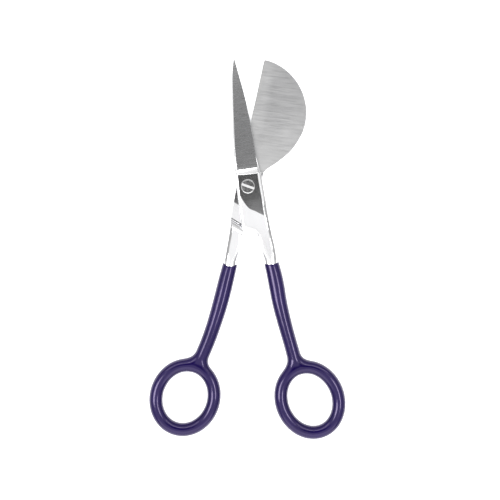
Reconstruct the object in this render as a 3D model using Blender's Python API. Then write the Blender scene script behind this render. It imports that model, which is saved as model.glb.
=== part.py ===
"""Duckbill applique scissors: two forged steel halves, a pivot screw and two vinyl-dipped grips.

Lengths are millimetres until a mesh is made. Both halves are drawn closed, side by side, and each one
then turns HALF_OPENING about the pivot. +Y points to the blade tips and +Z up along the pivot axis.
The origin is on the pivot axis, on the plane that the scissors lie on.
"""
import math

import bmesh
import bpy
import numpy as np
from mathutils import Matrix, Vector

MM = 0.001

# Pivot and layers
HALF_OPENING = math.radians(7.15)
LAP = 2.5
CLEARANCE = 0.3
TOTAL = 2 * LAP + CLEARANCE
MIDDLE = TOTAL / 2
LAP_CORNER = 0.35

# Shoulders: each lap ends in a ramp, and the other half's wing has the same slope above it.
# The four distances are from the pivot axis, square to the shoulder.
SHOULDER_ANGLE = math.radians(24.5)
SHOULDER_FOOT = 14.3
SHOULDER_TOP = 16.3
WING_FOOT = 13.8
WING_TOP = 15.75
WING_REACH = 19.5
WING_CORNER = -15.5

# Blades
POINT_TIP = 51.4
BILL_TIP = 50.9
BILL_CENTRE = (-1.9, 29.5)
BILL_RADIUS = 21.6
BILL_ARC_START = 23.5
BILL_THICKNESS = 1.3
BILL_EASE = 6.0
NECK = 6.0
PLATEAU_END = 5.8
GRIND_START = 8.0
EDGE_CORNER = 0.1

# Shank
SHANK_THINNING = 0.35
SHANK_CORNER = 2.65

# Screw
SCREW_RADIUS = 1.6
HEAD_RADIUS = 2.7
HEAD_TOP = TOTAL + 0.3
HEAD_HEIGHT = 1.2
SLOT_WIDTH = 0.9
SLOT_DEPTH = 0.6
SLOT_ANGLE = math.radians(-17)

# Vinyl coating and the steel inside it
MOUTH = -31.3
MOUTH_WALL = 0.3
WALL = 0.75
WALL_GROWTH = 6.0
FLARE_START = -68
FLARE_SLOPE = 0.25
GRIP_HALF_HEIGHT = 2.6
STEM_CORNER = 3.0
BOW_TUBE = 2.55
BOW_STEPS = 44
BOW_SIDES = 12
CORE_SIDES = 8

OVERCUT = 2.0
UP = Vector((0, 0, 1))


def through(*points):
    """A smooth function of y through (y, value) points, by cubic Hermite pieces."""
    ys, values = (np.array(column, dtype=float) for column in zip(*sorted(points)))
    slopes = np.gradient(values, ys)

    def value(y):
        y = min(max(y, ys[0]), ys[-1])
        i = min(int(np.searchsorted(ys, y, side="right")) - 1, len(ys) - 2)
        step = ys[i + 1] - ys[i]
        t = (y - ys[i]) / step
        return float(
            values[i] * (1 + 2 * t) * (1 - t) ** 2
            + slopes[i] * step * t * (1 - t) ** 2
            + values[i + 1] * t * t * (3 - 2 * t)
            + slopes[i + 1] * step * t * t * (t - 1)
        )

    return value


# Pointed half, against y: spine, cutting side down to the shank, and the shank's inner edge
POINTED_SPINE = through((51.4, 0.7), (45.3, -0.7), (35.8, -1.9), (21.6, -3.3), (7.3, -4.3), (-15.5, -4.4))
POINTED_EDGE = through(
    (51.4, 1.0), (45, 1.95), (35.2, 3.45), (20.6, 4.7), (10.9, 5.4), (2.4, 5.95), (-13.3, 6.55), (-30.4, 8.0),
)
POINTED_INNER = through((-15.5, -4.4), (-17, -1.3), (-18.9, 1.0), (-19.8, 1.4), (-24.7, 2.15), (-30.4, 2.8))
SPINE_THICKNESS = through((51.4, 0.7), (40, 1.3), (20, 1.9), (8, 2.2))
EDGE_THICKNESS = through((51.4, 0.5), (30, 0.7), (8, 1.0))

# Duckbill half, against y: cutting edge down to the shank, underside of the bill, waist, inner edge
BILL_EDGE = through(
    (50.9, 0.45), (50.4, 0.2), (49.4, 0.04), (45, -0.36), (26, -2.11), (10, -3.6), (0, -4.5), (-8.3, -5.0),
    (-25, -5.3), (-30, -5.8),
)
BILL_UNDERSIDE = through(
    (6, 5.45), (7.6, 6.45), (10.4, 9.7), (13.2, 12.6), (15.8, 14.9), (18.5, 16.6), (23.5, 18.85),
)
DUCK_WAIST = through((6, 5.45), (2.7, 5.3), (-2, 4.6), (-8, 4.35), (-15.5, 4.4))
DUCK_INNER = through((-15.5, 4.4), (-17, 0.9), (-18.4, 0.25), (-22.1, 0.1), (-26.9, -0.4), (-30, -0.75))

# Each half's own side is where its shank and bow are. Stem centres and bows are given on +X and
# mirrored by side. wing_span is how far the wing's bevel runs along the other half's shoulder.
DUCKBILL = {
    "side": -1,
    "upper": False,
    "wing_span": (-3.0, 6.9),
    "stem_centre": through(
        (-30, 3.05), (-37, 3.9), (-44, 4.7), (-51.5, 5.9), (-62.5, 8.3), (-69, 10.2), (-73.4, 11.8),
    ),
    "stem_half_width": through((-30, 2.85), (-37, 3.05), (-47, 3.1), (-57, 2.85), (-68, 2.85), (-73.4, 4.0)),
    "bow_centre": (14.4, -86.1),
    "bow_semi_axes": (13.0, 11.4),
    "bow_tilt": math.radians(11.4),
}
POINTED = {
    "side": 1,
    "upper": True,
    "wing_span": (-3.0, 8.5),
    "stem_centre": through(
        (-30, 5.35), (-35, 6.0), (-40, 6.4), (-47, 6.75), (-55, 7.65), (-67, 9.45), (-74.2, 10.4),
    ),
    "stem_half_width": through((-30, 2.85), (-40, 3.1), (-47, 3.0), (-64, 2.7), (-69, 2.9), (-74.2, 4.0)),
    "bow_centre": (13.9, -87.0),
    "bow_semi_axes": (13.3, 11.2),
    "bow_tilt": math.radians(15.4),
}


def clear_scene():
    for thing in list(bpy.data.objects):
        bpy.data.objects.remove(thing)


def new_collection(name):
    made = bpy.data.collections.new(name)
    bpy.context.scene.collection.children.link(made)
    return made


def material(name, colour, metallic, roughness):
    made = bpy.data.materials.new(name)
    made.use_nodes = True
    shader = made.node_tree.nodes["Principled BSDF"]
    shader.inputs["Base Color"].default_value = (*colour, 1)
    shader.inputs["Metallic"].default_value = metallic
    shader.inputs["Roughness"].default_value = roughness
    return made


def add_object(name, data, group, parent):
    made = bpy.data.objects.new(name, data)
    group.objects.link(made)
    made.parent = parent
    return made


def as_tool(shape):
    """Mark an object as a cutter or a guide: shown as wires and never rendered."""
    shape.hide_render = True
    shape.display_type = "WIRE"
    return shape


def boolean(target, tool, operation):
    modifier = target.modifiers.new(f"{operation.lower()}_{tool.name}", "BOOLEAN")
    modifier.object = tool
    modifier.operation = operation
    modifier.solver = "EXACT"


def steps(start, end, count):
    """Values from start towards end, without end itself."""
    return [start + (end - start) * i / count for i in range(count)]


def share(value, start, end):
    """How far value has gone from start to end, held between 0 and 1."""
    return min(1.0, max(0.0, (value - start) / (end - start)))


def rounded_square(across, up, per_corner):
    """Points round a square from -1 to 1, with corner radii given as fractions of its half sides."""
    points = []
    for quarter, (sx, sz) in enumerate(((1, 1), (-1, 1), (-1, -1), (1, -1))):
        for i in range(per_corner):
            angle = (quarter + i / (per_corner - 1)) * math.pi / 2
            x = sx * (1 - across) + across * math.cos(angle)
            z = sz * (1 - up) + up * math.sin(angle)
            points.append((x, z))
    return points


def section(y, left, right, floor, roof, radius, per_corner=4):
    """One cross-section at y. roof holds its heights at the left and at the right edge."""
    half_width = (right - left) / 2
    half_height = (sum(roof) / 2 - floor) / 2
    across = min(1.0, radius / half_width)
    up = min(1.0, radius / half_height)
    points = []
    for u, v in rounded_square(across, up, per_corner):
        s = (u + 1) / 2
        high = roof[0] + s * (roof[1] - roof[0])
        points.append(Vector((left + s * (right - left), y, floor + (v + 1) / 2 * (high - floor))) * MM)
    return points


def face_outward(mesh):
    bmesh.ops.recalc_face_normals(mesh, faces=mesh.faces)
    if mesh.calc_volume(signed=True) < 0:
        bmesh.ops.reverse_faces(mesh, faces=mesh.faces)


def loft(name, sections, group, parent):
    """Join cross-sections of equal point count into one closed skin."""
    mesh = bmesh.new()
    rings = [[mesh.verts.new(point) for point in points] for points in sections]
    count = len(rings[0])
    for ring, following in zip(rings, rings[1:]):
        for i in range(count):
            j = (i + 1) % count
            mesh.faces.new((ring[i], ring[j], following[j], following[i]))
    mesh.faces.new(rings[0])
    mesh.faces.new(list(reversed(rings[-1])))
    face_outward(mesh)
    data = bpy.data.meshes.new(name)
    mesh.to_mesh(data)
    mesh.free()
    return add_object(name, data, group, parent)


def curve_to_mesh(shape, group):
    """Swap a curve object for a welded mesh object of the same name, shape and place."""
    bpy.context.view_layer.update()
    graph = bpy.context.evaluated_depsgraph_get()
    data = bpy.data.meshes.new_from_object(shape.evaluated_get(graph))
    mesh = bmesh.new()
    mesh.from_mesh(data)
    bmesh.ops.remove_doubles(mesh, verts=mesh.verts, dist=1e-6)
    face_outward(mesh)
    mesh.to_mesh(data)
    mesh.free()
    name, place, parent = shape.name, shape.matrix_world.copy(), shape.parent
    bpy.data.objects.remove(shape)
    made = add_object(name, data, group, parent)
    made.matrix_world = place
    return made


def closed_polyline(curve, points):
    spline = curve.splines.new("POLY")
    spline.points.add(len(points) - 1)
    for target, point in zip(spline.points, points):
        target.co = (*point, 1)
    spline.use_cyclic_u = True


def bow_ring(name, half, tube, sides, group, parent):
    """The finger bow: a round tube along a tilted ellipse."""
    x, y = half["bow_centre"]
    major, minor = half["bow_semi_axes"]
    cosine, sine = math.cos(half["bow_tilt"]), math.sin(half["bow_tilt"])
    points = []
    for angle in steps(0, 2 * math.pi, BOW_STEPS):
        along, across = major * math.cos(angle), minor * math.sin(angle)
        px = half["side"] * (x + across * cosine - along * sine)
        points.append((px * MM, (y + across * sine + along * cosine) * MM, MIDDLE * MM))
    curve = bpy.data.curves.new(name, "CURVE")
    curve.dimensions = "3D"
    curve.bevel_depth = tube * MM
    curve.bevel_resolution = (sides - 4) // 2
    closed_polyline(curve, points)
    return as_tool(curve_to_mesh(add_object(name, curve, group, parent), group))


def prism(name, outline, axes, reach, group, parent):
    """A flat outline in the plane of the first two axes, extruded along the third over reach."""
    curve = bpy.data.curves.new(name, "CURVE")
    curve.dimensions = "2D"
    curve.fill_mode = "BOTH"
    curve.extrude = (reach[1] - reach[0]) / 2 * MM
    closed_polyline(curve, [(a * MM, b * MM, 0) for a, b in outline])
    shape = add_object(name, curve, group, parent)
    middle = axes[2] * (reach[0] + reach[1]) / 2 * MM
    shape.matrix_local = Matrix.Translation(middle) @ Matrix(axes).transposed().to_4x4()
    return as_tool(curve_to_mesh(shape, group))


def cylinder(name, radius, low, high, group, parent):
    mesh = bmesh.new()
    middle = Matrix.Translation((0, 0, (low + high) / 2 * MM))
    size = {"radius1": radius * MM, "radius2": radius * MM, "depth": (high - low) * MM}
    bmesh.ops.create_cone(mesh, cap_ends=True, segments=32, matrix=middle, **size)
    data = bpy.data.meshes.new(name)
    mesh.to_mesh(data)
    mesh.free()
    return add_object(name, data, group, parent)


def slope_axes(side):
    """A shoulder's axes: out from the pivot square to it, straight up, and along it."""
    out = Vector((side * math.sin(SHOULDER_ANGLE), -math.cos(SHOULDER_ANGLE), 0))
    return out, UP, out.cross(UP)


def wall(y):
    """The coating's thickness: thin at the mouth and full a little way in."""
    return MOUTH_WALL + (WALL - MOUTH_WALL) * share(MOUTH - y, 0, WALL_GROWTH)


def stem_section(half, y, side_inset, height_inset):
    """The stem of a grip or, with insets, the hollow or the steel inside it."""
    centre = half["side"] * half["stem_centre"](y)
    half_width = half["stem_half_width"](y) - side_inset
    half_height = GRIP_HALF_HEIGHT - height_inset
    roof = (MIDDLE + half_height,) * 2
    return section(y, centre - half_width, centre + half_width, MIDDLE - half_height, roof, STEM_CORNER)


def flare_inset(y):
    """Keeps the steel slim where the coating widens into the bow."""
    return max(0.0, (FLARE_START - y) * FLARE_SLOPE)


def stem_foot(half):
    """Where the stem's middle line meets the bow's."""
    return half["bow_centre"][1] + half["bow_semi_axes"][0]


def tang_sections(half):
    """The steel from just inside the mouth to the bow."""
    sections = []
    for y in steps(MOUTH - 0.7, stem_foot(half), 10) + [stem_foot(half) - 0.2]:
        inset = wall(y) + CLEARANCE
        sections.append(stem_section(half, y, inset + flare_inset(y), inset))
    return sections


def lap_section(y, left, right):
    return section(y, left, right, 0, (TOTAL, TOTAL), LAP_CORNER)


def shank_section(y, left, right):
    """Full thickness, easing from the lap's crisp corners to the round stem."""
    half_height = MIDDLE - SHANK_THINNING * share(-y, 18, 30)
    radius = LAP_CORNER + (SHANK_CORNER - LAP_CORNER) * share(-y, 15, 24)
    return section(y, left, right, MIDDLE - half_height, (MIDDLE + half_height,) * 2, radius)


def pointed_sections():
    """From the tip down: ground blade, plunge, lap, shank and tang."""
    sections = []
    for y in steps(POINT_TIP, 44, 4) + steps(44, GRIND_START, 9) + [GRIND_START, 6.9]:
        drop = math.sqrt(share(y, PLATEAU_END, GRIND_START))
        roof = [TOTAL - drop * (LAP - thickness(y)) for thickness in (SPINE_THICKNESS, EDGE_THICKNESS)]
        sections.append(section(y, POINTED_SPINE(y), POINTED_EDGE(y), 0, roof, EDGE_CORNER))
    for y in (PLATEAU_END, 0, -7, -13):
        sections.append(lap_section(y, POINTED_SPINE(y), POINTED_EDGE(y)))
    for y in (WING_CORNER, -16.2, -17, -17.9, -18.9, -20, -22, -24.7, -27.5, -30):
        sections.append(shank_section(y, POINTED_INNER(y), POINTED_EDGE(y)))
    return sections + tang_sections(POINTED)


def bill_right(y):
    """The bill's outer side: one arc above BILL_ARC_START, an eased underside below it."""
    if y > BILL_ARC_START:
        return BILL_CENTRE[0] + math.sqrt(BILL_RADIUS**2 - (y - BILL_CENTRE[1]) ** 2)
    return BILL_UNDERSIDE(y)


def duckbill_sections():
    """From the tip down: flat bill, lap, shank and tang."""
    sections = []
    top = math.asin((BILL_TIP - BILL_CENTRE[1]) / BILL_RADIUS)
    bottom = math.asin((BILL_ARC_START - BILL_CENTRE[1]) / BILL_RADIUS)
    arc = [BILL_CENTRE[1] + BILL_RADIUS * math.sin(angle) for angle in steps(top, bottom, 14)]
    for y in arc + steps(BILL_ARC_START, NECK, 9):
        rise = share(y, NECK, NECK + BILL_EASE)
        floor = (LAP - BILL_THICKNESS) * rise * rise * (3 - 2 * rise)
        sections.append(section(y, BILL_EDGE(y), bill_right(y), floor, (TOTAL, TOTAL), LAP_CORNER))
    for y in (NECK, 2.7, -2, -8, -13):
        sections.append(lap_section(y, BILL_EDGE(y), DUCK_WAIST(y)))
    for y in (WING_CORNER, -16.1, -17, -18.4, -20, -22, -24.7, -27.5, -30):
        sections.append(shank_section(y, BILL_EDGE(y), DUCK_INNER(y)))
    return sections + tang_sections(DUCKBILL)


def cut_recess(piece, half, tools, parent):
    """Take away the other half's layer in front of this half's shoulder."""
    slope = (SHOULDER_TOP - SHOULDER_FOOT) / LAP
    seam, far = (LAP + CLEARANCE, -OVERCUT) if half["upper"] else (LAP, TOTAL + OVERCUT)
    top = SHOULDER_FOOT + slope * abs(far - seam)
    outline = [(-75, seam), (SHOULDER_FOOT, seam), (top, far), (-75, far)]
    axes = slope_axes(half["side"])
    boolean(piece, prism(piece.name + "_recess", outline, axes, (-60, 60), tools, parent), "DIFFERENCE")


def cut_wing(piece, half, tools, parent):
    """Bevel this half's wing so that it lies over the other half's shoulder."""
    slope = (WING_TOP - WING_FOOT) / LAP
    below, above = -OVERCUT, TOTAL + OVERCUT
    seam, near, far = (LAP + CLEARANCE, below, above) if half["upper"] else (LAP, above, below)
    top = WING_FOOT + slope * abs(far - seam)
    outline = [(WING_FOOT, near), (WING_FOOT, seam), (top, far), (WING_REACH, far), (WING_REACH, near)]
    reach = sorted(-half["side"] * value for value in half["wing_span"])
    axes = slope_axes(-half["side"])
    boolean(piece, prism(piece.name + "_wing", outline, axes, reach, tools, parent), "DIFFERENCE")


def steel_half(name, half, sections, finish, parts, tools, parent):
    """One forging: lofted blade to tang, joined to the bow's core, then cut to its half lap and bored."""
    piece = loft(name, sections, parts, parent)
    core = bow_ring(name + "_bow_core", half, BOW_TUBE - WALL - CLEARANCE, CORE_SIDES, tools, parent)
    boolean(piece, core, "UNION")
    cut_recess(piece, half, tools, parent)
    cut_wing(piece, half, tools, parent)
    bore = cylinder(name + "_bore", SCREW_RADIUS + CLEARANCE, -OVERCUT, TOTAL + OVERCUT, tools, parent)
    boolean(piece, as_tool(bore), "DIFFERENCE")
    piece.data.materials.append(finish)


def seat_screw_head(piece, tools, parent):
    """The shallow seat that the screw's head sits in."""
    floor = HEAD_TOP - HEAD_HEIGHT - CLEARANCE
    seat = cylinder("screw_seat", HEAD_RADIUS + CLEARANCE, floor, TOTAL + OVERCUT, tools, parent)
    boolean(piece, as_tool(seat), "DIFFERENCE")


def grip_shell(name, half, finish, parts, tools, parent):
    """A vinyl coating: stem and bow joined, then hollowed for the steel, with the mouth left open."""
    foot = stem_foot(half)
    stations = steps(MOUTH, foot, 11) + [foot]
    shell = loft(name, [stem_section(half, y, 0, 0) for y in stations], parts, parent)
    boolean(shell, bow_ring(name + "_bow", half, BOW_TUBE, BOW_SIDES, tools, parent), "UNION")
    hollow = [MOUTH + OVERCUT] + stations[:-1] + [foot - 0.3]
    insets = [stem_section(half, y, wall(y) + flare_inset(y), wall(y)) for y in hollow]
    boolean(shell, as_tool(loft(name + "_hollow", insets, tools, parent)), "DIFFERENCE")
    bow_hollow = bow_ring(name + "_bow_hollow", half, BOW_TUBE - WALL, CORE_SIDES, tools, parent)
    boolean(shell, bow_hollow, "DIFFERENCE")
    shell.data.materials.append(finish)
    shell.data.shade_smooth()


def pivot_screw(finish, parts, tools, parent):
    """A slotted head sunk in the pointed half, on a shank that ends at the resting plane."""
    screw = cylinder("pivot_screw", SCREW_RADIUS, 0, HEAD_TOP - HEAD_HEIGHT / 2, parts, parent)
    head = cylinder("screw_head", HEAD_RADIUS, HEAD_TOP - HEAD_HEIGHT, HEAD_TOP, tools, parent)
    boolean(screw, as_tool(head), "UNION")
    across, floor = SLOT_WIDTH / 2, HEAD_TOP - SLOT_DEPTH
    ceiling = HEAD_TOP + OVERCUT
    outline = [(-across, floor), (across, floor), (across, ceiling), (-across, ceiling)]
    along = Vector((math.cos(SLOT_ANGLE), math.sin(SLOT_ANGLE), 0))
    axes = (UP.cross(along), UP, UP.cross(along).cross(UP))
    boolean(screw, prism("screw_slot", outline, axes, (-4, 4), tools, parent), "DIFFERENCE")
    screw.data.materials.append(finish)


def pivot_frame(name, turn):
    """An empty on the pivot axis, turned from the closed position to the resting one."""
    empty = bpy.data.objects.new(name, None)
    bpy.context.scene.collection.objects.link(empty)
    empty.rotation_euler.z = turn
    return empty


def main():
    clear_scene()
    parts = new_collection("duckbill_applique_scissors")
    tools = new_collection("cutters")
    bill_steel = material("bill_steel", (0.6, 0.6, 0.59), 1.0, 0.3)
    ground_steel = material("ground_steel", (0.5, 0.5, 0.5), 1.0, 0.25)
    screw_steel = material("screw_steel", (0.55, 0.55, 0.54), 1.0, 0.25)
    left_vinyl = material("left_vinyl", (0.06, 0.03, 0.2), 0.0, 0.15)
    right_vinyl = material("right_vinyl", (0.06, 0.03, 0.2), 0.0, 0.15)
    duck_frame = pivot_frame("duckbill_half", -HALF_OPENING)
    point_frame = pivot_frame("pointed_half", HALF_OPENING)
    screw_frame = pivot_frame("screw_axis", 0.0)
    steel_half("duckbill_blade", DUCKBILL, duckbill_sections(), bill_steel, parts, tools, duck_frame)
    steel_half("pointed_blade", POINTED, pointed_sections(), ground_steel, parts, tools, point_frame)
    seat_screw_head(bpy.data.objects["pointed_blade"], tools, point_frame)
    grip_shell("left_grip", DUCKBILL, left_vinyl, parts, tools, duck_frame)
    grip_shell("right_grip", POINTED, right_vinyl, parts, tools, point_frame)
    pivot_screw(screw_steel, parts, tools, screw_frame)


main()
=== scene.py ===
"""Looks for the duckbill applique scissors: forged steel halves, slotted screw and vinyl-dipped grips.

Shapes are drawn in millimetres for the closed scissors, each half upright along Y, and every object
then turns about the pivot axis, which is the frame's Z axis, to where the frame holds it at rest.
"""
import math

import bmesh
import bpy
import numpy as np
from mathutils import Matrix, Vector


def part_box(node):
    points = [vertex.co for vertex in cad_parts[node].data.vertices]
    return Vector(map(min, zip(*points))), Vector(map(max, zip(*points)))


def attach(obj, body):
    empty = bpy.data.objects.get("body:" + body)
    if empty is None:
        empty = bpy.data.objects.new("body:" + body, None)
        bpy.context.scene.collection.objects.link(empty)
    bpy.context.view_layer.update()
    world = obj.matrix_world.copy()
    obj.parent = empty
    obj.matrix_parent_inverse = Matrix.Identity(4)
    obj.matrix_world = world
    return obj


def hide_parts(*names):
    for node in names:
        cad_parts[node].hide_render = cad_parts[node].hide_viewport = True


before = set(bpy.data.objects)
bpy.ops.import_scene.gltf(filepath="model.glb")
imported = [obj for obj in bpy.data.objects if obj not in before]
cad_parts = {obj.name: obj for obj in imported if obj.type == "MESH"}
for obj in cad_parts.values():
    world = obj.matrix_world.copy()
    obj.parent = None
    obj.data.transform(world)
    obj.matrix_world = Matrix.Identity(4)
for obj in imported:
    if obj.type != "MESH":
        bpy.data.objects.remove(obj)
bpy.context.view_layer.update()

MM = 0.001


def frame_box(node):
    """A CAD node's lowest and highest corner, in millimetres."""
    return [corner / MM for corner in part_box(node)]


# Heights come from the frame: the resting plane, the two laps and the screw's head
FLOOR = frame_box("duckbill_blade")[0].z
TOTAL = frame_box("pointed_blade")[1].z
HEAD_TOP = frame_box("pivot_screw")[1].z
HEAD_RADIUS = (frame_box("pivot_screw")[1].x - frame_box("pivot_screw")[0].x) / 2
MIDDLE = (FLOOR + TOTAL) / 2
CLEARANCE = 0.3
LAP = (TOTAL - CLEARANCE) / 2
SEAM_LOW = FLOOR + LAP
SEAM_HIGH = SEAM_LOW + CLEARANCE
GRIP_HALF_HEIGHT = (frame_box("right_grip")[1].z - frame_box("right_grip")[0].z) / 2

HALF_OPENING = math.radians(7.15)

# Shoulders, as distances from the pivot axis square to the shoulder
SHOULDER_ANGLE = math.radians(24.5)
SHOULDER_FOOT = 14.3
SHOULDER_TOP = 16.3
WING_FOOT = 13.8
WING_TOP = 15.75
WING_REACH = 19.5
WING_CORNER = -15.5

# The lap falls away towards its shoulder, and a narrow flat along the foot rises again
LAP_RELIEF = 0.15
LAP_RELIEF_START = 8.0
FOOT_FLAT = 0.55
FOOT_FLAT_RISE = 0.03

MOUTH = -31.3

# Blades
POINT_TIP = 51.4
BILL_TIP = 50.9
BILL_CENTRE = (-1.9, 29.5)
BILL_RADIUS = 21.6
BILL_ARC_START = 23.5
BILL_THICKNESS = 1.3
BILL_EASE = 6.0
NECK = 6.0
EDGE_LEFT = 0.12
UNDER_CUT = (0.5, 0.35)

# The ramp from the pointed blade's ground face up to its lap, which starts further up at the spine
PLUNGE_START = 4.8
PLUNGE_LENGTH = 2.35
PLUNGE_HOLLOW = 0.35
PLUNGE_LEAN = 0.5
PLUNGE_LEAN_WIDTH = 0.45

# Shanks: how far the top falls to the coating, how fast it falls past the crease, where the underside
# lifts off the floor and where the section turns into a rounded bar, both as distances below the pivot
SHANK_FALL = 0.5
SHANK_FALL_SPAN = (12, 32)
CREASE_RATE = 0.192
UNDERSIDE_LIFT = 0.4
UNDERSIDE_LIFT_SPAN = (16, 26)
ROUNDING_SPAN = (15, 25)
SHANK_END = MOUTH - 1.5

# The flat that polishing leaves along each shank's outer edge: how far it faces from straight up, and
# how much deeper it is on the duckbill half
EDGE_FLAT_TILT = math.radians(41)
DUCKBILL_FLAT_DEPTH = 1.4

# Screw and its seat
SCREW_RADIUS = 1.6
HEAD_HEIGHT = 1.2
HEAD_CHAMFER = 0.21
SEAT_DEPTH = 1.5
SEAT_GAP = 0.18
SLOT_WIDTH = 1.05
SLOT_DEPTH = 0.42
SLOT_FLOOR_RISE = 0.08
SLOT_ANGLE = math.radians(-20)

# Coating
WALL = 0.75
BOW_TUBE = 2.65
FILLET = 3.6
LIP_ROUNDING = 0.3
VOXEL = 0.32

# Cutters reach past what they cut
OVERCUT = 2.0
BORE_SPAN = (-3.0, 9.0)

UP = Vector((0, 0, 1))

# Camera: straight down on the scissors' middle height
VIEW_WIDTH = 0.1987
VIEW_CENTRE = (0.00083, -0.0251)

# Surroundings: a dim patch overhead, leaning towards the blade tips
PATCH_LEAN = math.radians(14)
PATCH_INNER = math.radians(12.6)
PATCH_OUTER = math.radians(14.6)
SKY_LEVEL = 1.12
PATCH_LEVEL = 0.09
HORIZON_LEVEL = 0.35
STRIP_RADIANCE = 8.5
WASH_RADIANCE = 1.2
PANEL_DISTANCE = 0.7


# ---------------------------------------------------------------- helpers


def through(*points):
    """A smooth function of y, for numbers or arrays, through (y, value) points."""
    ys, values = (np.array(column, dtype=float) for column in zip(*sorted(points)))
    slopes = np.gradient(values, ys)

    def value(y):
        y = np.clip(y, ys[0], ys[-1])
        i = np.clip(np.searchsorted(ys, y, side="right") - 1, 0, len(ys) - 2)
        step = ys[i + 1] - ys[i]
        t = (y - ys[i]) / step
        return (
            values[i] * (1 + 2 * t) * (1 - t) ** 2
            + slopes[i] * step * t * (1 - t) ** 2
            + values[i + 1] * t * t * (3 - 2 * t)
            + slopes[i + 1] * step * t * t * (t - 1)
        )

    return value


def share(value, start, end):
    """How far value has gone from start to end, held between 0 and 1."""
    return np.clip((value - start) / (end - start), 0.0, 1.0)


def smooth(t):
    return t * t * (3 - 2 * t)


def spaced(*stops):
    """Values through (start, step) stops down to the last stop, for the stations of a loft."""
    values = []
    for (start, step), (end, _) in zip(stops, stops[1:]):
        count = max(1, round(abs(end - start) / step))
        values += [start + (end - start) * i / count for i in range(count)]
    return values + [stops[-1][0]]


# ---------------------------------------------------------------- outlines, for the closed scissors

POINTED_SPINE = through(
    (51.4, 0.7), (45.3, -0.7), (35.8, -1.9), (21.6, -3.3), (7.3, -4.3), (-15.5, -4.4),
)
POINTED_EDGE = through(
    (51.4, 1.0), (45, 1.95), (35.2, 3.45), (20.6, 4.7), (10.9, 5.4), (2.4, 5.95), (-13.3, 6.55),
    (-30.4, 8.0),
)
POINTED_INNER = through(
    (-15.5, -4.4), (-17, -1.3), (-18.9, 1.0), (-19.8, 1.4), (-24.7, 2.15), (-30.4, 2.8),
)
SPINE_THICKNESS = through((51.4, 0.5), (40, 1.1), (20, 1.6), (8, 1.9))
EDGE_THICKNESS = through((51.4, 0.4), (30, 0.95), (8, 1.45))
SPINE_CHAMFER = through(
    (51.4, 0.05), (46, 0.3), (30, 0.5), (12, 0.7), (8, 0.85), (0, 0.8), (-6, 0.8), (-20, 1.2),
)
EDGE_BEVEL = through(
    (51.4, 0.03), (40, 0.15), (30, 0.3), (18, 0.6), (9, 0.9), (4, 1.4), (-8, 1.3), (-20, 1.4),
)

# Shanks: the power of the rounded section, from square to oval, the depth of the edge flat, and the y of
# the pointed half's forged crease against x
SQUARENESS = through((-18, 8), (-24, 6), (-27.5, 3.6), (-29.5, 2.3), (-32, 2.05), (-33, 2.0))
EDGE_FLAT = through((-15, 0.22), (-24, 0.22), (-28, 0.15), (-30, 0.05), (-31, 0))
CREASE = through((-5, 0.8), (-3.6, -3.7), (-1.85, -7.4), (1.9, -10.4), (4.8, -12.3), (8, -13.7))

BILL_EDGE = through(
    (50.9, 0.45), (50.4, 0.2), (49.4, 0.04), (45, -0.36), (26, -2.11), (10, -3.6), (0, -4.5), (-8.3, -5.0),
    (-25, -5.3), (-30, -5.8),
)
BILL_UNDERSIDE = through(
    (6, 5.45), (7.6, 6.45), (10.4, 9.7), (13.2, 12.6), (15.8, 14.9), (18.5, 16.6), (23.5, 18.85),
)
DUCK_WAIST = through((6, 5.45), (2.7, 5.3), (-2, 4.6), (-8, 4.35), (-15.5, 4.4))
DUCK_INNER = through((-15.5, 4.4), (-17, 0.9), (-18.4, 0.25), (-22.1, 0.1), (-26.9, -0.4), (-30, -0.75))

DUCKBILL = {
    "side": -1,
    "upper": False,
    "wing_span": (-3.0, 6.9),
    "mouth_dip": 1.2,
    "stem_centre": through(
        (-30, 3.05), (-37, 3.9), (-44, 4.7), (-51.5, 5.8), (-64.4, 8.55), (-69, 9.9), (-73.4, 11.6),
    ),
    "stem_half_width": through(
        (-30, 2.85), (-37, 3.05), (-47, 3.1), (-57, 2.95), (-66, 2.95), (-73.4, 3.0),
    ),
    "bow_centre": (14.4, -86.1),
    "bow_semi_axes": (13.0, 11.4),
    "bow_tilt": math.radians(11.4),
}
POINTED = {
    "side": 1,
    "upper": True,
    "wing_span": (-3.0, 8.5),
    "mouth_dip": 0.7,
    "stem_centre": through(
        (-30, 5.35), (-35, 6.0), (-40, 6.4), (-47, 6.75), (-55, 7.65), (-67, 9.45), (-74.2, 10.4),
    ),
    "stem_half_width": through((-30, 2.9), (-40, 3.1), (-47, 3.0), (-64, 2.75), (-74.2, 2.85)),
    "bow_centre": (13.9, -87.0),
    "bow_semi_axes": (13.3, 11.2),
    "bow_tilt": math.radians(15.4),
}


# ---------------------------------------------------------------- objects and meshes


def place(obj, turn):
    """Turns a finished mesh from the closed position to the resting one."""
    obj.data.transform(Matrix.Rotation(turn, 4, "Z"))
    return obj


def new_object(name, mesh):
    obj = bpy.data.objects.new(name, mesh)
    bpy.context.scene.collection.objects.link(obj)
    return obj


def mesh_from(name, points, faces):
    """A mesh in metres from points in millimetres."""
    mesh = bpy.data.meshes.new(name)
    mesh.from_pydata([tuple(point) for point in np.asarray(points) * MM], [], faces)
    mesh.update()
    return mesh


def outward(mesh):
    shell = bmesh.new()
    shell.from_mesh(mesh)
    bmesh.ops.recalc_face_normals(shell, faces=shell.faces)
    if shell.calc_volume(signed=True) < 0:
        bmesh.ops.reverse_faces(shell, faces=shell.faces)
    shell.to_mesh(mesh)
    shell.free()


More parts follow.
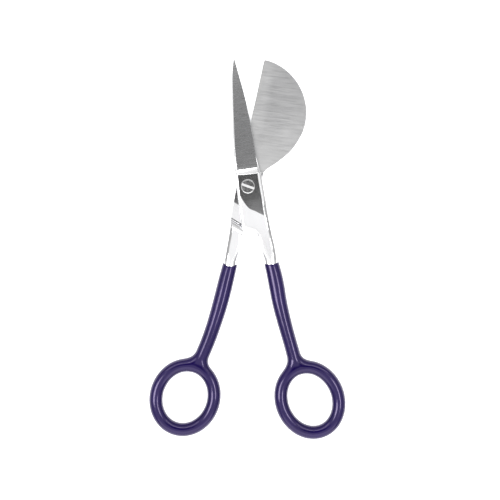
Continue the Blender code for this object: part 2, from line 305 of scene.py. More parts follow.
def loft(name, rings):
    """Joins rings of equal point count, arrays of (x, y, z) in millimetres, and closes both ends."""
    count = len(rings[0])
    faces = []
    for k in range(len(rings) - 1):
        for i in range(count):
            j = (i + 1) % count
            faces.append((k * count + i, k * count + j, (k + 1) * count + j, (k + 1) * count + i))
    faces.append(tuple(range(count)))
    faces.append(tuple(reversed(range((len(rings) - 1) * count, len(rings) * count))))
    return mesh_from(name, np.concatenate(rings), faces)


def evaluated_copy(obj):
    bpy.context.view_layer.update()
    graph = bpy.context.evaluated_depsgraph_get()
    return bpy.data.meshes.new_from_object(obj.evaluated_get(graph), depsgraph=graph)


def boolean(target, tool, operation):
    """Cuts or joins at once, then removes the tool."""
    modifier = target.modifiers.new("cut", "BOOLEAN")
    modifier.object = tool
    modifier.operation = operation
    modifier.solver = "EXACT"
    modifier.material_mode = "TRANSFER"
    mesh = evaluated_copy(target)
    target.modifiers.clear()
    target.data = mesh
    bpy.data.objects.remove(tool)


def crisp(obj, degrees):
    """Smooth shading with sharp edges kept, and flat stretches kept flat."""
    obj.data.shade_smooth()
    obj.data.set_sharp_from_angle(angle=math.radians(degrees))
    weighted = obj.modifiers.new("weighted_normals", "WEIGHTED_NORMAL")
    weighted.keep_sharp = True


def prism(name, outline, axes, reach, material):
    """A flat outline in the plane of the first two axes, extruded along the third over reach."""
    low = [axes[0] * a + axes[1] * b + axes[2] * reach[0] for a, b in outline]
    high = [axes[0] * a + axes[1] * b + axes[2] * reach[1] for a, b in outline]
    mesh = loft(name, [np.array(low), np.array(high)])
    outward(mesh)
    mesh.materials.append(material)
    return new_object(name, mesh)


def turned(name, profile, material, sides=96):
    """A solid of revolution about Z from (radius, height) points, both ends on the axis."""
    mesh = bmesh.new()
    verts = [mesh.verts.new(Vector((r, 0, z)) * MM) for r, z in profile]
    edges = [mesh.edges.new(pair) for pair in zip(verts, verts[1:])]
    bmesh.ops.spin(
        mesh, geom=verts + edges, cent=(0, 0, 0), axis=(0, 0, 1), angle=2 * math.pi, steps=sides,
        use_merge=True, use_normal_flip=False,
    )
    bmesh.ops.remove_doubles(mesh, verts=mesh.verts, dist=1e-7)
    data = bpy.data.meshes.new(name)
    mesh.to_mesh(data)
    mesh.free()
    outward(data)
    data.materials.append(material)
    return new_object(name, data)


# ---------------------------------------------------------------- materials


RANGE_SOCKETS = ("From Min", "From Max", "To Min", "To Max")


class Nodes:
    """Short calls for building a node material."""

    def __init__(self, name, turn=0.0):
        """turn is how far the piece is from closed: its textures stay aligned with the closed half."""
        self.material = bpy.data.materials.new(name)
        self.material.use_nodes = True
        self.tree = self.material.node_tree
        self.shader = self.tree.nodes["Principled BSDF"]
        self.coordinates = self.tree.nodes.new("ShaderNodeTexCoord").outputs["Object"]
        if turn:
            self.coordinates = self.stretched((1, 1, 1), turn=-turn)

    def link(self, source, target):
        self.tree.links.new(source, target)

    def set(self, **values):
        for name, value in values.items():
            self.shader.inputs[name.replace("_", " ")].default_value = value

    def stretched(self, scale, offset=(0, 0, 0), turn=0.0):
        node = self.tree.nodes.new("ShaderNodeMapping")
        node.inputs["Scale"].default_value = scale
        node.inputs["Location"].default_value = offset
        node.inputs["Rotation"].default_value = (0, 0, turn)
        self.link(self.coordinates, node.inputs["Vector"])
        return node.outputs["Vector"]

    def noise(self, vector, scale, detail=4.0, roughness=0.55):
        node = self.tree.nodes.new("ShaderNodeTexNoise")
        node.inputs["Scale"].default_value = scale
        node.inputs["Detail"].default_value = detail
        node.inputs["Roughness"].default_value = roughness
        self.link(vector, node.inputs["Vector"])
        return node.outputs["Fac"]

    def range(self, value, low, high, to_low, to_high, smoothly=False):
        node = self.tree.nodes.new("ShaderNodeMapRange")
        node.interpolation_type = "SMOOTHSTEP" if smoothly else "LINEAR"
        for name, number in zip(RANGE_SOCKETS, (low, high, to_low, to_high)):
            node.inputs[name].default_value = number
        self.link(value, node.inputs["Value"])
        return node.outputs["Result"]

    def math(self, operation, a, b):
        node = self.tree.nodes.new("ShaderNodeMath")
        node.operation = operation
        for socket, value in zip(node.inputs, (a, b)):
            if isinstance(value, (int, float)):
                socket.default_value = value
            else:
                self.link(value, socket)
        return node.outputs["Value"]

    def axis(self, index):
        node = self.tree.nodes.new("ShaderNodeSeparateXYZ")
        self.link(self.coordinates, node.inputs["Vector"])
        return node.outputs[index]

    def colour(self, factor, low, high):
        node = self.tree.nodes.new("ShaderNodeMix")
        node.data_type = "RGBA"
        node.inputs["A"].default_value = (*low, 1)
        node.inputs["B"].default_value = (*high, 1)
        self.link(factor, node.inputs["Factor"])
        self.link(node.outputs["Result"], self.shader.inputs["Base Color"])

    def bump(self, height, strength, distance):
        node = self.tree.nodes.new("ShaderNodeBump")
        node.inputs["Strength"].default_value = strength
        node.inputs["Distance"].default_value = distance
        self.link(height, node.inputs["Height"])
        self.link(node.outputs["Normal"], self.shader.inputs["Normal"])


def plated_steel():
    """Bright polished plating with faint haze and hairline scratches."""
    n = Nodes("plated_steel")
    n.set(Metallic=1.0)
    haze = n.noise(n.coordinates, 90.0, 5.0)
    scratches = n.noise(n.stretched((60, 900, 60), turn=0.5), 12.0, 3.0)
    n.link(n.range(haze, 0.35, 0.7, 0.05, 0.11), n.shader.inputs["Roughness"])
    n.colour(haze, (0.80, 0.80, 0.81), (0.88, 0.88, 0.89))
    n.bump(scratches, 0.015, 0.0002)
    return n.material


def screw_steel():
    """The screw: turned and polished, with rings of haze round its axis and a few scuffs."""
    n = Nodes("screw_steel")
    n.set(Metallic=1.0)
    squares = [n.math("POWER", n.axis(index), 2.0) for index in (0, 1)]
    radius = n.math("SQRT", n.math("ADD", *squares), 0.0)
    rings = n.math("SINE", n.math("MULTIPLY", radius, 30000.0), 0.0)
    scuffs = n.noise(n.coordinates, 700.0, 4.0)
    n.link(n.range(scuffs, 0.35, 0.7, 0.07, 0.16), n.shader.inputs["Roughness"])
    n.colour(scuffs, (0.72, 0.72, 0.73), (0.88, 0.88, 0.88))
    n.bump(rings, 0.02, 0.00001)
    return n.material


def ground_steel(name, turn, dark, light, roughness, lines):
    """Ground steel with fine lines across the blade."""
    n = Nodes(name, turn)
    n.set(Metallic=1.0)
    fine = n.noise(n.stretched((240, lines, 240)), 1.0, 4.0, 0.6)
    broad = n.noise(n.stretched((90, 260, 90), offset=(3, 1, 0)), 1.0, 2.0)
    mixed = n.math("ADD", n.math("MULTIPLY", fine, 0.65), n.math("MULTIPLY", broad, 0.35))
    n.link(n.range(fine, 0.3, 0.7, roughness - 0.02, roughness + 0.03), n.shader.inputs["Roughness"])
    n.colour(n.range(mixed, 0.3, 0.7, 0, 1), dark, light)
    n.bump(fine, 0.01, 0.0001)
    return n.material


def bill_steel():
    """The bill's brushed inner face: short lines across it, with a painted highlight that makes it brighter
    along the edge and low down.
    """
    n = Nodes("bill_steel", -HALF_OPENING)
    n.set(Metallic=1.0)
    fine = n.noise(n.stretched((130, 2700, 130)), 1.0, 3.0, 0.6)
    broad = n.noise(n.stretched((45, 900, 45), offset=(7, 0, 0)), 1.0, 2.0)
    streaks = n.math("ADD", n.math("MULTIPLY", fine, 0.6), n.math("MULTIPLY", broad, 0.4))
    # Painted highlight: the base colour is lifted near the bill's edge and towards its lower end, standing
    # in for light falling there. The streaks and the cloud are the metal's own tone.
    edge_painted_sheen = n.range(n.axis(0), 0.0015, 0.0055, 0.34, 0.0, True)
    low_painted_sheen = n.range(n.axis(1), 0.012, 0.034, 0.42, 0.0, True)
    cloud = n.range(n.noise(n.stretched((90, 110, 90)), 1.0, 2.0), 0.35, 0.65, -0.1, 0.1)
    streaks_and_painted_sheen = n.math("ADD", n.math("MAXIMUM", edge_painted_sheen, low_painted_sheen), n.range(streaks, 0.3, 0.7, 0.2, 0.45))
    n.colour(n.math("ADD", streaks_and_painted_sheen, cloud), (0.315, 0.315, 0.32), (0.495, 0.495, 0.495))
    n.link(n.range(fine, 0.3, 0.7, 0.33, 0.43), n.shader.inputs["Roughness"])
    n.bump(fine, 0.06, 0.0001)
    return n.material


def dipped_vinyl():
    """Deep purple dipped vinyl: glossy, with slight waves in the skin and fine dust."""
    n = Nodes("dipped_vinyl")
    n.set(Specular_IOR_Level=0.6, Specular_Tint=(0.8, 0.68, 1, 1))
    waves = n.noise(n.coordinates, 130.0, 2.0)
    skin = n.noise(n.coordinates, 900.0, 4.0)
    dust = n.noise(n.coordinates, 2600.0, 2.0)
    n.colour(n.range(waves, 0.3, 0.7, 0, 1), (0.0034, 0.0004, 0.037), (0.0046, 0.0006, 0.046))
    n.link(n.range(dust, 0.55, 0.8, 0.12, 0.3), n.shader.inputs["Roughness"])
    n.bump(n.math("ADD", n.math("MULTIPLY", waves, 0.9), n.math("MULTIPLY", skin, 0.1)), 0.12, 0.0004)
    return n.material


# ---------------------------------------------------------------- steel halves


def polygon_ring(corners, counts):
    """Points round a polygon of (x, z) corners, with a set number on each side."""
    points = []
    for (start, end), count in zip(zip(corners, corners[1:] + corners[:1]), counts):
        for i in range(count):
            t = i / count
            points.append((start[0] + (end[0] - start[0]) * t, start[1] + (end[1] - start[1]) * t))
    return np.array(points)


SIDE_COUNTS = (3, 5, 26, 5, 3, 3, 12, 3)
SIDE_OF_POINT = [side for side, count in enumerate(SIDE_COUNTS) for _ in range(count)]
LEFT_CHAMFER, TOP, RIGHT_BEVEL, RIGHT_UNDER, UNDER, LEFT_UNDER = 1, 2, 3, 5, 6, 7


def steel_ring(y, left, right, floor, roof, chamfer, bevel, under_left, under_right, roundness, outer=0):
    """One cross-section. roof is a function of x; the rest are (width, height) pairs of corner cuts.

    roundness, from 0 to 1, turns it into a rounded bar. outer is the depth of the flat along its outer
    edge, with the sign of that side, or 0.
    """
    top_left, top_right = roof(left + chamfer[0]), roof(right - bevel[0])
    corners = [
        (left, floor + under_left[1]),
        (left, top_left - chamfer[1]),
        (left + chamfer[0], top_left),
        (right - bevel[0], top_right),
        (right, top_right - bevel[1]),
        (right, floor + under_right[1]),
        (right - under_right[0], floor),
        (left + under_left[0], floor),
    ]
    ring = polygon_ring(corners, SIDE_COUNTS)
    for i, side in enumerate(SIDE_OF_POINT):
        if side == TOP:
            ring[i, 1] = roof(ring[i, 0])
    ring = bulge(ring, LEFT_CHAMFER, 0.12 * chamfer[0])
    ring = bulge(ring, RIGHT_BEVEL, 0.12 * bevel[0])
    if roundness > 0:
        centre = np.array([(left + right) / 2, (ring[:, 1].min() + ring[:, 1].max()) / 2])
        radii = (ring.max(axis=0) - ring.min(axis=0)) / 2
        offset = (ring - centre) / radii
        power = float(SQUARENESS(y))
        size = (np.abs(offset) ** power).sum(axis=1, keepdims=True) ** (1 / power)
        ring = ring + (centre + offset / size * radii - ring) * roundness
    if outer:
        ring = edge_flat(ring, outer)
    return np.column_stack((ring[:, 0], np.full(len(ring), y), ring[:, 1]))


def edge_flat(ring, outer):
    """Planes a narrow flat along the upper edge on the outer side."""
    diagonal = np.array([math.copysign(math.sin(EDGE_FLAT_TILT), outer), math.cos(EDGE_FLAT_TILT)])
    height = ring @ diagonal
    excess = np.maximum(height - (height.max() - abs(outer)), 0)
    return ring - excess[:, None] * diagonal


def bulge(ring, side, height):
    """Rounds one side of a ring outwards, as polishing does."""
    members = [i for i, s in enumerate(SIDE_OF_POINT) if s == side]
    start, end = ring[members[0]], ring[(members[-1] + 1) % len(ring)]
    normal = np.array([-(end[1] - start[1]), end[0] - start[0]])
    length = np.linalg.norm(normal)
    if length > 1e-6:
        for k, i in enumerate(members):
            t = k / len(members)
            ring[i] += normal / length * height * 4 * t * (1 - t)
    return ring


def pointed_roof(y):
    """The pointed half's top surface at y, as a function of x."""
    left, right = float(POINTED_SPINE(y)), float(POINTED_EDGE(y))
    spine, edge = float(SPINE_THICKNESS(max(y, 8))), float(EDGE_THICKNESS(max(y, 8)))

    def roof(x):
        u = min(1.0, max(0.0, (x - left) / (right - left)))
        blade = SEAM_HIGH + spine + (edge - spine) * u
        start = PLUNGE_START + PLUNGE_LEAN * max(0.0, 1 - u / PLUNGE_LEAN_WIDTH) ** 2
        gone = share(y, start, start + PLUNGE_LENGTH)
        height = TOTAL - (TOTAL - blade) * gone * (1 + PLUNGE_HOLLOW * (1 - gone))
        past_crease = max(0.0, float(CREASE(x)) - y)
        return height - SHANK_FALL * (1 - math.exp(-CREASE_RATE * past_crease))

    return roof


def outer_flat(y, start):
    """Depth of the shank's edge flat, which fades in from start and out short of the coating."""
    return float(EDGE_FLAT(y) * smooth(share(start - y, 0, 2)))


def shank_fall(y):
    """How far the shank's top has come down, from the shoulder to the coating."""
    return SHANK_FALL * smooth(share(-y, *SHANK_FALL_SPAN))


def underside_lift(y):
    return UNDERSIDE_LIFT * smooth(share(-y, *UNDERSIDE_LIFT_SPAN))


def rounding(y):
    return smooth(share(-y, *ROUNDING_SPAN))


def under_cut(width):
    return min(UNDER_CUT[0], 0.3 * width), UNDER_CUT[1]


def pointed_ring(y):
    left = float(POINTED_SPINE(y) if y > WING_CORNER else POINTED_INNER(y))
    right = float(POINTED_EDGE(y))
    width = right - left
    chamfer = min(float(SPINE_CHAMFER(y)), 0.3 * width)
    bevel = min(float(EDGE_BEVEL(y)), 0.4 * width)
    on_blade = smooth(share(y, PLUNGE_START, PLUNGE_START + PLUNGE_LENGTH))
    edge = float(EDGE_THICKNESS(max(y, 8)))
    drop = bevel * 0.55 * (1 - on_blade) + (edge - EDGE_LEFT) * on_blade
    under = under_cut(width)
    roof = pointed_roof(y)
    highest = TOTAL - shank_fall(y)
    return steel_ring(
        y, left, right, FLOOR + underside_lift(y), lambda x: min(roof(x), highest),
        (chamfer, chamfer * 0.6), (bevel, drop), under, under, rounding(y), outer_flat(y, -6),
    )


def bill_right(y):
    if y > BILL_ARC_START:
        return BILL_CENTRE[0] + math.sqrt(BILL_RADIUS**2 - (y - BILL_CENTRE[1]) ** 2)
    return float(BILL_UNDERSIDE(y))


def duckbill_ring(y):
    left = float(BILL_EDGE(y))
    if y > NECK:
        right = bill_right(y)
    else:
        right = float(DUCK_WAIST(y) if y > WING_CORNER else DUCK_INNER(y))
    width = right - left
    rise = smooth(share(y, NECK, NECK + BILL_EASE))
    floor = FLOOR + (LAP - BILL_THICKNESS) * rise + underside_lift(y)
    lap = SEAM_LOW + 0.1
    full = TOTAL - shank_fall(y)
    roof = lap + (full - lap) * smooth(share(-y, 10.4, 12.4))
    on_lap = smooth(share(-y, -8, 4)) * smooth(share(y, -15, -9))
    on_shank = smooth(share(-y, 11, 14))
    chamfer = min(0.12 + 0.1 * on_lap + 1.0 * on_shank, 0.3 * width)
    bevel = min(0.35 + 0.3 * on_lap + 0.9 * on_shank, 0.3 * width)
    under = 0.3 + 1.0 * rise
    return steel_ring(
        y, left, right, floor, lambda x: roof,
        (chamfer, 0.12 + 0.1 * on_lap + 0.6 * on_shank), (bevel, 0.35 + 0.2 * on_lap + 0.4 * on_shank),
        (min(under, 0.3 * width), 0.35 + (BILL_THICKNESS - 0.7) * rise), under_cut(width),
        rounding(y), -DUCKBILL_FLAT_DEPTH * outer_flat(y, -13),
    )


def stem_foot(half):
    return half["bow_centre"][1] + half["bow_semi_axes"][0]


def tang_rings(half, growth):
    """The steel inside the coating, slimmer than the shank, or the hollow for it if growth is above 0."""
    rings = []
    for y in spaced((SHANK_END - 1.0, 1.0), (stem_foot(half) - 0.4, 1.0)):
        centre = half["side"] * float(half["stem_centre"](y))
        inset = 0.5 + (WALL + CLEARANCE - 0.5) * smooth(share(SHANK_END - y, 0, 6)) - growth
        half_width = float(half["stem_half_width"](y)) - inset
        half_height = GRIP_HALF_HEIGHT - inset
        low, high = MIDDLE - half_height, MIDDLE + half_height
        left, right = centre - half_width, centre + half_width
        cuts = [(0.5, 0.5)] * 4
        rings.append(steel_ring(y, left, right, low, lambda x: high, *cuts, 1.0))
    return rings


def finish_face(mesh, height, start, slot):
    """Gives the flat face at one height, from y = start upwards, its own material slot."""
    shell = bmesh.new()
    shell.from_mesh(mesh)
    everything = shell.verts[:] + shell.edges[:] + shell.faces[:]
    bmesh.ops.bisect_plane(
        shell, geom=everything, dist=1e-7, plane_co=(0, start * MM, 0), plane_no=(0, 1, 0),
    )
    for face in shell.faces:
        middle = face.calc_center_median() / MM
        if middle.y > start and abs(middle.z - height) < 0.02 and face.normal.z > 0.9:
            face.material_index = slot
    shell.to_mesh(mesh)
    shell.free()


def bow_point(half, angle):
    x, y = half["bow_centre"]
    major, minor = half["bow_semi_axes"]
    along, across = major * math.cos(angle), minor * math.sin(angle)
    cosine, sine = math.cos(half["bow_tilt"]), math.sin(half["bow_tilt"])
    x += across * cosine - along * sine
    y += across * sine + along * cosine
    return Vector((half["side"] * x, y, MIDDLE))


def bow_tube(name, half, radius, steps, sides):
    """A round tube along the bow's ellipse."""
    points, faces = [], []
    for k in range(steps):
        angle = 2 * math.pi * k / steps
        centre = bow_point(half, angle)
        ahead = (bow_point(half, angle + 0.01) - bow_point(half, angle - 0.01)).normalized()
        out = ahead.cross(UP)
        for i in range(sides):
            turn = 2 * math.pi * i / sides
            points.append(centre + out * radius * math.cos(turn) + UP * radius * math.sin(turn))
            j, following = (i + 1) % sides, (k + 1) % steps
            faces.append((k * sides + i, k * sides + j, following * sides + j, following * sides + i))
    mesh = mesh_from(name, points, faces)
    outward(mesh)
    return new_object(name, mesh)


def slope_axes(side):
    """A shoulder's axes: out from the pivot square to it, straight up, and along it."""
    out = Vector((side * math.sin(SHOULDER_ANGLE), -math.cos(SHOULDER_ANGLE), 0))
    return out, UP, out.cross(UP)


def cut_recess(piece, half, material):
    """Takes away the other half's layer, up to a shoulder rounded off at its top, and relieves the lap."""
    seam, way = (SEAM_HIGH, -1) if half["upper"] else (SEAM_LOW, 1)
    controls = ((SHOULDER_FOOT, 0), (SHOULDER_FOOT + 0.65, 0.72 * LAP), (SHOULDER_TOP + 0.9, LAP))
    outline = [
        (-75, seam), (LAP_RELIEF_START, seam), (SHOULDER_FOOT - FOOT_FLAT, seam - way * LAP_RELIEF),
        (SHOULDER_FOOT, seam - way * (LAP_RELIEF - FOOT_FLAT_RISE)),
    ]
    for t in np.linspace(0, 1, 15):
        weights = ((1 - t) ** 2, 2 * t * (1 - t), t * t)
        out, up = (sum(w * point[i] for w, point in zip(weights, controls)) for i in (0, 1))
        outline.append((out, seam + way * up))
    outline += [(SHOULDER_TOP + 0.9, seam + way * (LAP + OVERCUT)), (-75, seam + way * (LAP + OVERCUT))]
    boolean(piece, prism("recess", outline, slope_axes(half["side"]), (-60, 60), material), "DIFFERENCE")


def cut_wing(piece, half, material):
    """Bevels this half's wing so that it lies over the other half's shoulder."""
    slope = (WING_TOP - WING_FOOT) / LAP
    below, above = -OVERCUT, TOTAL + OVERCUT
    seam, near, far = (SEAM_HIGH, below, above) if half["upper"] else (SEAM_LOW, above, below)
    top = WING_FOOT + slope * abs(far - seam)
    outline = [(WING_FOOT, near), (WING_FOOT, seam), (top, far), (WING_REACH, far), (WING_REACH, near)]
    reach = sorted(-half["side"] * value for value in half["wing_span"])
    boolean(piece, prism("wing", outline, slope_axes(-half["side"]), reach, material), "DIFFERENCE")


def assign(mesh, rings, choose):
    """Gives each face of a loft the material slot that choose(y, side) names."""
    count = len(SIDE_OF_POINT)
    heights = [ring[0, 1] for ring in rings]
    for face in mesh.polygons:
        k, i = divmod(face.index, count)
        if k < len(rings) - 1:
            face.material_index = choose((heights[k] + heights[k + 1]) / 2, SIDE_OF_POINT[i])


def steel_half(name, half, rings, choose, materials, inner):
    mesh = loft(name, rings)
    for material in materials:
        mesh.materials.append(material)
    assign(mesh, rings, choose)
    outward(mesh)
    piece = new_object(name, mesh)
    core = bow_tube("core", half, BOW_TUBE - WALL - CLEARANCE, 96, 16)
    core.data.materials.append(materials[0])
    boolean(piece, core, "UNION")
    cut_recess(piece, half, inner)
    cut_wing(piece, half, materials[0])
    low, high = BORE_SPAN
    radius = SCREW_RADIUS + CLEARANCE
    bore = turned("bore", [(0, low), (radius, low), (radius, high), (0, high)], materials[0])
    boolean(piece, bore, "DIFFERENCE")
    return piece


def pointed_half(plated, ground, inner):
    stations = spaced(
        (POINT_TIP, 0.3), (46, 0.6), (8.2, 0.12), (4.4, 0.35), (1, 0.2), (-14, 0.15), (-21, 0.4),
        (SHANK_END, 0.4),
    )
    rings = [pointed_ring(y) for y in stations] + tang_rings(POINTED, 0)

    def choose(y, side):
        return 1 if side == TOP and y > PLUNGE_START + PLUNGE_LENGTH else 0

    piece = steel_half("pointed_forging", POINTED, rings, choose, [plated, ground], inner)
    radius = HEAD_RADIUS + SEAT_GAP
    low, high = HEAD_TOP - SEAT_DEPTH, BORE_SPAN[1]
    seat = turned("seat", [(0, low), (radius, low), (radius, high), (0, high)], plated)
    boolean(piece, seat, "DIFFERENCE")
    crisp(piece, 24)
    return place(piece, HALF_OPENING)


def duckbill_half(plated, bill, inner):
    top = math.asin((BILL_TIP - BILL_CENTRE[1]) / BILL_RADIUS)
    bottom = math.asin((BILL_ARC_START - BILL_CENTRE[1]) / BILL_RADIUS)
    angles = spaced((top, 0.02), (bottom, 0.02))
    stations = [BILL_CENTRE[1] + BILL_RADIUS * math.sin(angle) for angle in angles]
    stations += spaced((BILL_ARC_START - 0.4, 0.4), (-10, 0.2), (-22, 0.4), (SHANK_END, 0.4))
    rings = [duckbill_ring(y) for y in stations] + tang_rings(DUCKBILL, 0)

    def choose(y, side):
        return 1 if y > NECK and side in (UNDER, LEFT_UNDER, RIGHT_UNDER) else 0

    piece = steel_half("duckbill_forging", DUCKBILL, rings, choose, [plated, inner, bill], plated)
    finish_face(piece.data, SEAM_LOW, NECK, 2)
    crisp(piece, 24)
    return place(piece, -HALF_OPENING)


# ---------------------------------------------------------------- screw


def pivot_screw(material):
    """Slotted head with a chamfered rim, on a plain shank. The slot's floor leans a little."""
    low = HEAD_TOP - HEAD_HEIGHT
    rim = HEAD_CHAMFER
    profile = [
        (0, FLOOR), (SCREW_RADIUS - 0.15, FLOOR), (SCREW_RADIUS, FLOOR + 0.15), (SCREW_RADIUS, low),
        (HEAD_RADIUS - 0.1, low), (HEAD_RADIUS, low + 0.1), (HEAD_RADIUS, HEAD_TOP - rim),
        (HEAD_RADIUS - 0.04, HEAD_TOP - rim * 0.6), (HEAD_RADIUS - 0.04 - rim, HEAD_TOP), (0, HEAD_TOP),
    ]
    screw = turned("slotted_screw", profile, material, 128)
    half_width = SLOT_WIDTH / 2
    floor = HEAD_TOP - SLOT_DEPTH
    outline = [
        (half_width, HEAD_TOP + 1), (-half_width, HEAD_TOP + 1),
        (-half_width, floor - SLOT_FLOOR_RISE), (half_width, floor + SLOT_FLOOR_RISE),
    ]
    along = Vector((math.cos(SLOT_ANGLE), math.sin(SLOT_ANGLE), 0))
    across = UP.cross(along)
    boolean(screw, prism("slot", outline, (across, UP, across.cross(UP)), (-4, 4), material), "DIFFERENCE")
    crisp(screw, 9)
    return screw


# ---------------------------------------------------------------- coatings


def blend_union(a, b, radius):
    """The smaller of two fields with a fillet of the given size between them."""
    h = np.clip(0.5 + 0.5 * (b - a) / radius, 0, 1)
    return b + (a - b) * h - radius * h * (1 - h)


def bow_distance(half, x, y):
    """Distance in the plane from the bow's middle line."""
    major, minor = half["bow_semi_axes"]
    cosine, sine = math.cos(half["bow_tilt"]), math.sin(half["bow_tilt"])
    dx, dy = half["side"] * x - half["bow_centre"][0], y - half["bow_centre"][1]
    along, across = -dx * sine + dy * cosine, dx * cosine + dy * sine
    angle = np.arctan2(across / minor, along / major)
    for _ in range(6):
        c, s = np.cos(angle), np.sin(angle)
        slope = (major * c - along) * (-major * s) + (minor * s - across) * (minor * c)
        bend = major**2 * s * s + minor**2 * c * c
        bend += (major * c - along) * (-major * c) + (minor * s - across) * (-minor * s)
        angle = angle - np.clip(slope / np.maximum(bend, 1.0), -0.3, 0.3)
    return np.hypot(along - major * np.cos(angle), across - minor * np.sin(angle))


def coating_field(half, points):
    """Zero on the coating's skin and negative inside: a filleted outline with an oval section."""
    x, y, z = points.T
    foot = stem_foot(half)
    inside_y = np.clip(y, foot, MOUTH + 3)
    stem_width = half["stem_half_width"](inside_y)
    u = (x - half["side"] * half["stem_centre"](inside_y)) / stem_width
    stem = np.maximum((np.abs(u) - 1) * stem_width, foot - y)
    outline = blend_union(stem, bow_distance(half, x, y) - BOW_TUBE, FILLET)
    width = BOW_TUBE + (stem_width - BOW_TUBE) * smooth(share(y, foot, foot + 5))
    height = BOW_TUBE + (GRIP_HALF_HEIGHT - BOW_TUBE) * smooth(share(y, foot, foot + 5))
    across = np.maximum(1 + outline / width, 0)
    skin = (np.hypot(across, (z - MIDDLE) / height) - 1) * height
    lip = MOUTH + 0.25 - half["mouth_dip"] * np.maximum(1 - u * u, 0)
    return -blend_union(-skin, lip - y, LIP_ROUNDING)


def rough_coating(name, half):
    """Stem and bow joined and remeshed evenly, ready to be drawn onto the exact skin."""
    rings = []
    angles = np.linspace(0, 2 * math.pi, 40, endpoint=False)
    for y in spaced((MOUTH + 0.2, 0.8), (stem_foot(half), 0.8)):
        centre = half["side"] * float(half["stem_centre"](y))
        width = float(half["stem_half_width"](y))
        ring = (centre + width * np.cos(angles), np.full(40, y), MIDDLE + GRIP_HALF_HEIGHT * np.sin(angles))
        rings.append(np.column_stack(ring))
    mesh = loft(name, rings)
    outward(mesh)
    piece = new_object(name, mesh)
    boolean(piece, bow_tube("bow", half, BOW_TUBE, 120, 32), "UNION")
    remesh = piece.modifiers.new("skin", "REMESH")
    remesh.mode = "VOXEL"
    remesh.voxel_size = VOXEL * MM
    piece.data = evaluated_copy(piece)
    piece.modifiers.clear()
    return piece


def draw_onto_skin(half, mesh):
    points = np.empty(len(mesh.vertices) * 3)
    mesh.vertices.foreach_get("co", points)
    points = points.reshape(-1, 3) / MM
    step = 0.01
    for _ in range(10):
        field = coating_field(half, points)
        slopes = []
        for axis in np.eye(3):
            rise = coating_field(half, points + step * axis) - coating_field(half, points - step * axis)
            slopes.append(rise / (2 * step))
        gradient = np.column_stack(slopes)
        length = np.maximum((gradient**2).sum(axis=1), 0.2)
        move = (field / length)[:, None] * gradient
        points -= move * np.minimum(1, 0.4 / np.maximum(np.linalg.norm(move, axis=1), 1e-9))[:, None]
    mesh.vertices.foreach_set("co", (points * MM).ravel())
    mesh.update()


def hollow(piece, half, ring_at):
    """Opens the coating for its steel: a close fit at the mouth and a little play further in."""
    rings = []
    for y in spaced((MOUTH + 2, 0.4), (SHANK_END, 0.4)):
        ring = ring_at(y)
        centre = (ring.max(axis=0) + ring.min(axis=0)) / 2
        rings.append(centre + (ring - centre) * (1 + 0.02 / 2.6))
    space = loft("hollow", rings + tang_rings(half, CLEARANCE * 0.8))
    outward(space)
    boolean(piece, new_object("hollow", space), "DIFFERENCE")
    boolean(piece, bow_tube("bow_hollow", half, BOW_TUBE - WALL, 96, 16), "DIFFERENCE")


def coating(name, half, ring_at, material, turn):
    """One dipped vinyl coating, from its mouth to its finger bow."""
    piece = rough_coating(name, half)
    draw_onto_skin(half, piece.data)
    hollow(piece, half, ring_at)
    piece.data.materials.clear()
    piece.data.materials.append(material)
    piece.data.shade_smooth()
    piece.data.set_sharp_from_angle(angle=math.radians(60))
    return place(piece, turn)


# ---------------------------------------------------------------- stage


def floor_plane():
    corners = [(-1500, -1500, 0), (1500, -1500, 0), (1500, 1500, 0), (-1500, 1500, 0)]
    floor = new_object("floor", mesh_from("floor", corners, [(0, 1, 2, 3)]))
    floor.location.z = -0.00002
    n = Nodes("pale_floor")
    n.set(Base_Color=(0.9, 0.9, 0.9, 1), Roughness=0.8, Emission_Color=(1, 1, 1, 1), Emission_Strength=0.55)
    floor.data.materials.append(n.material)
    return floor


def studio_world():
    """White surroundings, greyer near the horizon, with a dim patch overhead."""
    world = bpy.data.worlds.new("studio")
    world.use_nodes = True
    tree = world.node_tree
    direction = tree.nodes.new("ShaderNodeTexCoord").outputs["Generated"]
    patch = tree.nodes.new("ShaderNodeVectorMath")
    patch.operation = "DOT_PRODUCT"
    patch.inputs[1].default_value = (0, math.sin(PATCH_LEAN), math.cos(PATCH_LEAN))
    parts = tree.nodes.new("ShaderNodeSeparateXYZ")
    product = tree.nodes.new("ShaderNodeMath")
    product.operation = "MULTIPLY"
    tree.links.new(direction, patch.inputs[0])
    tree.links.new(direction, parts.inputs["Vector"])
    ranges = (
        (patch.outputs["Value"], math.cos(PATCH_OUTER), math.cos(PATCH_INNER), SKY_LEVEL, PATCH_LEVEL),
        (parts.outputs["Z"], -0.1, 0.95, HORIZON_LEVEL, 1.0),
    )
    for (source, *numbers), socket in zip(ranges, product.inputs):
        node = tree.nodes.new("ShaderNodeMapRange")
        node.interpolation_type = "SMOOTHSTEP"
        for name, number in zip(RANGE_SOCKETS, numbers):
            node.inputs[name].default_value = number
        tree.links.new(source, node.inputs["Value"])
        tree.links.new(node.outputs["Result"], socket)
    tree.links.new(product.outputs["Value"], tree.nodes["Background"].inputs["Strength"])
    tree.nodes["Background"].inputs["Color"].default_value = (1, 1, 1, 1)
    bpy.context.scene.world = world


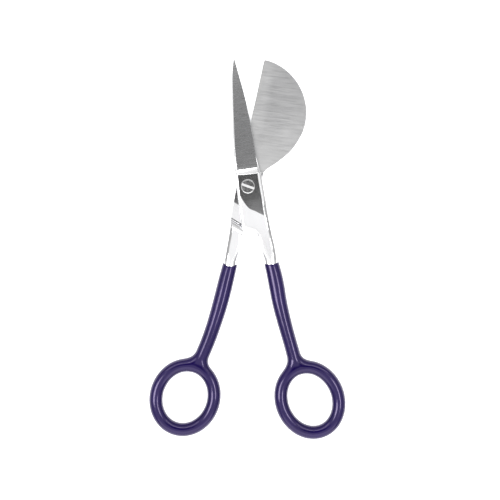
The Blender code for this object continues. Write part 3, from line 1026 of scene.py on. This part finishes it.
def panel(name, angle, heading, spread, length, radiance, middle):
    """A soft box over the scissors: its angle from overhead, its heading from +X, and the angle it spans.

    It lies across its heading for its whole length, and circles the point (0, middle) on the floor.
    """
    width = 2 * PANEL_DISTANCE * math.tan(spread / 2)
    light = bpy.data.lights.new(name, "AREA")
    light.shape = "RECTANGLE"
    light.size, light.size_y = width, length
    light.energy = radiance * math.pi * width * length
    lamp = bpy.data.objects.new(name, light)
    bpy.context.scene.collection.objects.link(lamp)
    reach = PANEL_DISTANCE * math.sin(angle)
    lamp.location = (
        reach * math.cos(heading), middle + reach * math.sin(heading), PANEL_DISTANCE * math.cos(angle),
    )
    lamp.rotation_euler = (0, angle, heading)


def panels():
    """Strips on the left and right, a long one beyond the tips, and a broad wash from the bows' side."""
    degrees = math.radians
    panel("left_strip", degrees(33), degrees(180), degrees(24), 0.23, STRIP_RADIANCE, -0.08)
    panel("right_strip", degrees(26), degrees(0), degrees(12), 0.23, STRIP_RADIANCE, -0.08)
    panel("back_strip", degrees(34), degrees(90), degrees(8), 1.1, STRIP_RADIANCE * 0.52, 0.0)
    panel("front_wash", degrees(62), degrees(-90), degrees(56), 1.2, WASH_RADIANCE, 0.0)


def camera():
    data = bpy.data.cameras.new("camera")
    data.lens = 100
    data.sensor_width = 36
    data.clip_start = 0.01
    distance = VIEW_WIDTH * data.lens / data.sensor_width
    view = bpy.data.objects.new("camera", data)
    bpy.context.scene.collection.objects.link(view)
    view.location = (*VIEW_CENTRE, MIDDLE * MM + distance)
    bpy.context.scene.camera = view


def main():
    camera()
    plated = plated_steel()
    ground = ground_steel(
        "ground_steel", HALF_OPENING, (0.31, 0.31, 0.315), (0.325, 0.325, 0.33), 0.27, 2600,
    )
    inner = ground_steel("inner_steel", HALF_OPENING, (0.5, 0.5, 0.5), (0.62, 0.62, 0.62), 0.28, 1600)
    vinyl = dipped_vinyl()
    pieces = (
        (duckbill_half(plated, bill_steel(), inner), "duckbill_half", "duckbill_blade", "forged_steel"),
        (pointed_half(plated, ground, inner), "pointed_half", "pointed_blade", "forged_steel"),
        (pivot_screw(screw_steel()), "screw", "pivot_screw", "screw_steel"),
        (coating("left_vinyl", DUCKBILL, duckbill_ring, vinyl, -HALF_OPENING),
         "duckbill_half", "left_grip", "purple_vinyl"),
        (coating("right_vinyl", POINTED, pointed_ring, vinyl, HALF_OPENING),
         "pointed_half", "right_grip", "purple_vinyl"),
    )
    for piece, body, node, slot in pieces:
        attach(piece, body)
        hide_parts(node)
    floor_plane()
    studio_world()
    panels()
    bpy.context.scene.view_settings.view_transform = "Standard"


main()
